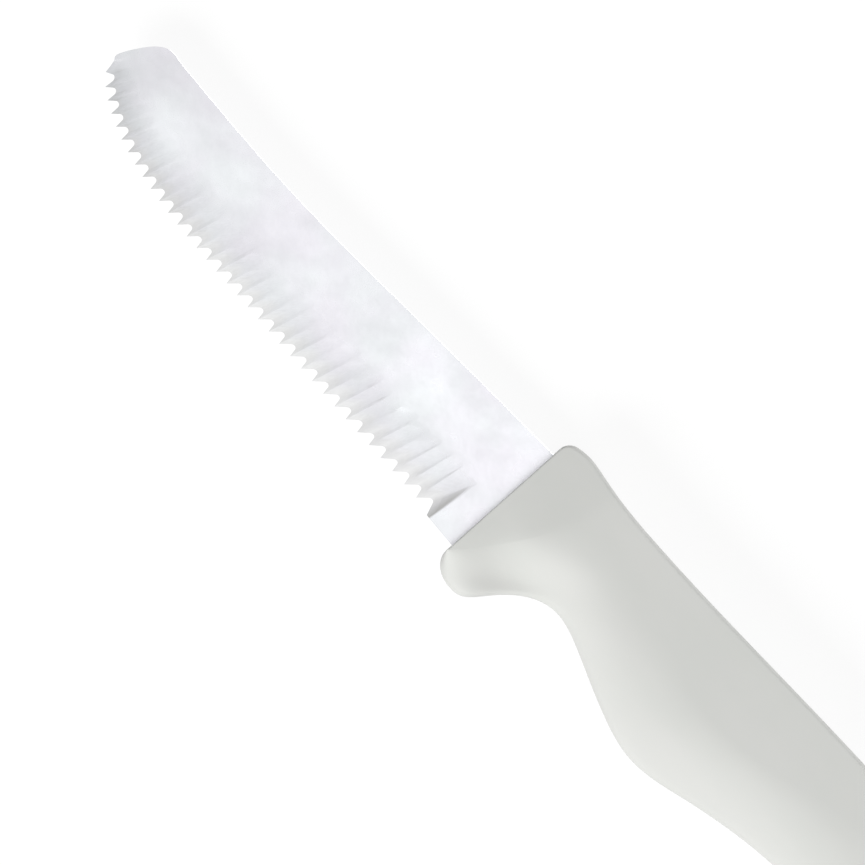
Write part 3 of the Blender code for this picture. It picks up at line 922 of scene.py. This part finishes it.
class Steel(Nodes):
    """Satin sheet steel, cloudy from handling, with fine grinding lines down the flutes, and painted shade
    and painted highlights in its colour.

    It knows where a place lies on the blade, and how much of it the grinding wheel has touched.
    """

    def __init__(self, nose, axis, face_height):
        super().__init__("satin_steel")
        self.nose = nose
        self.axis = axis
        self.face_height = face_height
        position = self.axes(self.place)
        self.along = position["X"]
        self.height = position["Z"]
        self.facing = self.axes(self.add("ShaderNodeNewGeometry").outputs["True Normal"])["Z"]
        on_top = self.math("GREATER_THAN", self.facing, UPPER_SIDE)
        self.ground = self.math("MULTIPLY", self.under_face(GRIND_DEPTHS, smooth=True), on_top)
        self.hazes = self.noise(HAZE_SIZE, detail=2.0, stretch=(1.4, 1.0, 1.0), turn=0.5)
        self.lines = self.noise(LINE_SIZE, detail=2.0, stretch=(1.0, 40.0, 1.0), turn=-FLUTE_LEAN)

    def under_face(self, depths, most=1.0, smooth=False):
        """0 at the blade's face, rising to the most between two depths under it."""
        near, far = depths
        return self.remap(self.height, self.face_height - far, self.face_height - near, most, 0.0, smooth)

    def to_nose(self, reach, low, high):
        """A value that goes from low to high over the last stretch before the nose."""
        return self.remap(self.along, self.nose + reach, self.nose, low, high, smooth=True)

    def painted_wall_shade(self):
        """How much painted shade the flutes' steep walls get: streaky, and full on the long wall at the heel.
        """
        streaks = self.noise(STREAK_SIZE, detail=2.0, stretch=(1.0, 2.0, 1.0), turn=-FLUTE_LEAN)
        walls = self.remap(self.facing, *WALL_SLOPE, 0.0, WALL_SHADE)
        walls = self.math("MULTIPLY", walls, self.remap(streaks, *STREAK_RANGE, *STREAK_SHADE))
        handle = self.nose + BLADE_LENGTH
        before, behind = HEEL_WALL_ZONE
        at_heel = self.remap(self.along, handle - before, handle - behind, 0.0, 1.0)
        heel_wall = self.remap(self.facing, *HEEL_WALL_SLOPE, 0.0, HEEL_WALL_SHADE)
        return self.math("MAXIMUM", walls, self.math("MULTIPLY", heel_wall, at_heel))

    def tint(self):
        """The colour: two cloudy greys, a third near the thin edge, and painted shade on the steep walls."""
        clouds = self.noise(CLOUD_SIZE, detail=2.0, roughness=0.45)
        tint = self.mix(self.remap(clouds, *NOISE_MIDDLE, 0.0, 1.0), STEEL_WARM, STEEL_COOL)
        thin = self.under_face(THIN_DEPTHS, THIN_SHARE, smooth=True)
        tint = self.mix(self.math("MULTIPLY", thin, self.ground), tint, STEEL_THIN)
        # Painted shade on the steep walls of the flutes, mixed into the colour
        return self.mix(self.math("MULTIPLY", self.painted_wall_shade(), self.ground), tint, STEEL_PAINTED_SHADE)

    def brightness(self):
        """How bright the steel is: hazy, with painted highlights in patches, and painted shade in the grind
        and towards the nose.
        """
        specks = self.noise(SPECK_SIZE, detail=2.0, stretch=(1.5, 1.0, 1.0), turn=-0.6)
        specks = self.remap(specks, *NOISE_RANGE, *SPECK_LIGHT)
        light = self.math("ADD", self.remap(self.hazes, *NOISE_RANGE, *HAZE_LIGHT), specks)
        # Painted highlights in patches on the face
        for centre, size, gain in PAINTED_HIGHLIGHT_PATCHES:
            patch = self.patch((self.nose + centre[0], self.axis + centre[1], self.face_height), size)
            light = self.math("ADD", light, self.math("MULTIPLY", patch, gain))
        # Painted shade in the ground band, darker towards the nose; the grinding lines' random tone is
        # multiplied in
        band = self.to_nose(TIP_BAND_SHADE_REACH, BAND_PAINTED_SHADE, TIP_BAND_PAINTED_SHADE)
        band = self.remap(self.under_face(BAND_DEPTHS), 0.0, 1.0, 1.0, band)
        lines_and_painted_shade = self.math("MULTIPLY", self.remap(self.lines, *NOISE_RANGE, *LINE_LIGHT), band)
        light = self.math("MULTIPLY", light, self.remap(self.ground, 0.0, 1.0, 1.0, lines_and_painted_shade))
        # Painted shade towards the nose
        return self.math("MULTIPLY", light, self.to_nose(TIP_SHADE_REACH, 1.0, TIP_SHADE))

    def relief(self):
        """The surface's fine form: grinding lines in the flutes, rolling grain elsewhere."""
        grain = self.noise(GRAIN_SIZE, detail=2.0, stretch=(60.0, 1.0, 1.0))
        fine = self.bump(grain, GRAIN_DEPTH, self.remap(self.ground, 0.0, 1.0, GRAIN_STRENGTH, 0.0))
        return self.bump(self.lines, LINE_DEPTH, self.ground, before=fine)


def steel_material(nose, axis, face_height):
    steel = Steel(nose, axis, face_height)
    steel.shader.inputs["Metallic"].default_value = 1.0
    steel.link(steel.scale_colour(steel.tint(), steel.brightness()), steel.shader.inputs["Base Color"])
    rolled = steel.remap(steel.hazes, *NOISE_RANGE, *STEEL_ROUGHNESS)
    rough = steel.math("ADD", rolled, steel.math("MULTIPLY", steel.ground, GROUND_ROUGHNESS))
    steel.link(rough, steel.shader.inputs["Roughness"])
    steel.link(steel.relief(), steel.shader.inputs["Normal"])
    return steel.material


def plastic_material(parting_height):
    """Satin off-white polypropylene: fine mould grain, faint flow marks and a parting line."""
    plastic = Nodes("satin_plastic")
    plastic.shader.inputs["Specular IOR Level"].default_value = PLASTIC_SHINE
    flow = plastic.noise(FLOW_SIZE, stretch=(2.5, 1.0, 1.0))
    colour = plastic.mix(plastic.remap(flow, *NOISE_MIDDLE, 0.0, 1.0), PLASTIC_GREY, PLASTIC_PALE)
    plastic.link(colour, plastic.shader.inputs["Base Color"])
    rubbed = plastic.noise(RUBBED_SIZE, detail=5.0, roughness=0.6)
    rough = plastic.remap(rubbed, *NOISE_MIDDLE, *PLASTIC_ROUGHNESS)
    plastic.link(rough, plastic.shader.inputs["Roughness"])
    height = plastic.axes(plastic.place)["Z"]
    off_middle = plastic.math("ABSOLUTE", plastic.math("SUBTRACT", height, parting_height))
    seam = plastic.remap(off_middle, *SEAM_WIDTHS, 1.0, 0.0, smooth=True)
    grain = plastic.noise(MOULD_GRAIN_SIZE, detail=2.0)
    fine = plastic.bump(grain, MOULD_GRAIN_DEPTH, MOULD_GRAIN_STRENGTH)
    relief = plastic.bump(seam, SEAM_HEIGHT, SEAM_STRENGTH, before=fine)
    plastic.link(relief, plastic.shader.inputs["Normal"])
    return plastic.material


# Studio

def aim(item, target):
    item.rotation_euler = (item.location - target).to_track_quat("Z", "Y").to_euler()


def add_panel(name, direction, distance, size, power, target):
    lamp = bpy.data.lights.new(name, "AREA")
    lamp.shape = "RECTANGLE"
    lamp.size, lamp.size_y = size
    lamp.energy = power
    item = bpy.data.objects.new(name, lamp)
    bpy.context.collection.objects.link(item)
    item.location = target + Vector(direction).normalized() * distance
    item.visible_camera = False
    aim(item, target)
    return item


def seen_directly(tree):
    """1 for rays from the camera and for reflections, 0 for the rest."""
    path = tree.nodes.new("ShaderNodeLightPath")
    total = path.outputs["Is Camera Ray"]
    for name in ("Is Glossy Ray", "Is Transmission Ray"):
        either = tree.nodes.new("ShaderNodeMath")
        either.operation = "MAXIMUM"
        tree.links.new(total, either.inputs[0])
        tree.links.new(path.outputs[name], either.inputs[1])
        total = either.outputs[0]
    return total


def light_world():
    world = bpy.data.worlds.new("studio")
    world.use_nodes = True
    tree = world.node_tree
    strength = tree.nodes.new("ShaderNodeMapRange")
    tree.links.new(seen_directly(tree), strength.inputs["Value"])
    strength.inputs["To Min"].default_value = WORLD_LIGHT
    strength.inputs["To Max"].default_value = 1.0
    tree.nodes["Background"].inputs["Color"].default_value = (1, 1, 1, 1)
    tree.links.new(strength.outputs["Result"], tree.nodes["Background"].inputs["Strength"])
    world.cycles.sampling_method = "NONE"
    bpy.context.scene.world = world


def add_floor():
    shape = bmesh.new()
    bmesh.ops.create_grid(shape, x_segments=1, y_segments=1, size=FLOOR_SIZE / 2)
    floor = finish_mesh("floor", shape)
    material = bpy.data.materials.new("white_paper")
    material.use_nodes = True
    tree = material.node_tree
    shader = tree.nodes["Principled BSDF"]
    shader.inputs["Roughness"].default_value = FLOOR_ROUGHNESS
    shader.inputs["Specular IOR Level"].default_value = 0.0
    shader.inputs["Emission Color"].default_value = (1, 1, 1, 1)
    seen = seen_directly(tree)
    for socket, unseen, when_seen in (("Emission Strength", 0.0, FLOOR_GLOW),
                                      ("Base Color", FLOOR_ALBEDO, FLOOR_SHADOW_SHARE)):
        choice = tree.nodes.new("ShaderNodeMapRange")
        choice.inputs["To Min"].default_value = unseen
        choice.inputs["To Max"].default_value = when_seen
        tree.links.new(seen, choice.inputs["Value"])
        tree.links.new(choice.outputs["Result"], shader.inputs[socket])
    floor.data.materials.append(material)


def add_camera(target):
    camera = bpy.data.cameras.new("camera")
    camera.sensor_width = SENSOR_WIDTH
    camera.lens = SENSOR_WIDTH * CAMERA_HEIGHT / VIEW_WIDTH
    camera.clip_end = CAMERA_REACH
    item = bpy.data.objects.new("camera", camera)
    bpy.context.collection.objects.link(item)
    item.location = target + Vector((0, 0, CAMERA_HEIGHT))
    item.rotation_euler = (0, 0, VIEW_TURN)
    bpy.context.scene.camera = item


def main():
    low, high = (Vector(corner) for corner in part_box("blade"))
    knife = Vector((low.x + BLADE_LENGTH, high.y - HEEL_TOP, (low.z + high.z) / 2))
    blade = make_blade()
    handle = make_handle()
    for piece in (blade, handle):
        for vertex in piece.data.vertices:
            vertex.co += knife
        piece.data.materials.clear()
        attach(piece, "root")
    blade.data.materials.append(steel_material(low.x, knife.y, high.z))
    handle.data.materials.append(plastic_material(knife.z))
    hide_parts("blade")
    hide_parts("handle")

    target = knife + Vector((*VIEW_CENTRE, 0.0))
    add_camera(target)
    add_floor()
    light_world()
    key = add_panel("key_light", KEY_DIRECTION, KEY_DISTANCE, KEY_SIZE, KEY_POWER, target)
    key.visible_glossy = False
    add_panel("fill_light", FILL_DIRECTION, FILL_DISTANCE, FILL_SIZE, FILL_POWER, target)
    add_panel("top_light", TOP_DIRECTION, TOP_DISTANCE, TOP_SIZE, TOP_POWER, target)
    bpy.context.scene.view_settings.view_transform = "Standard"


main()
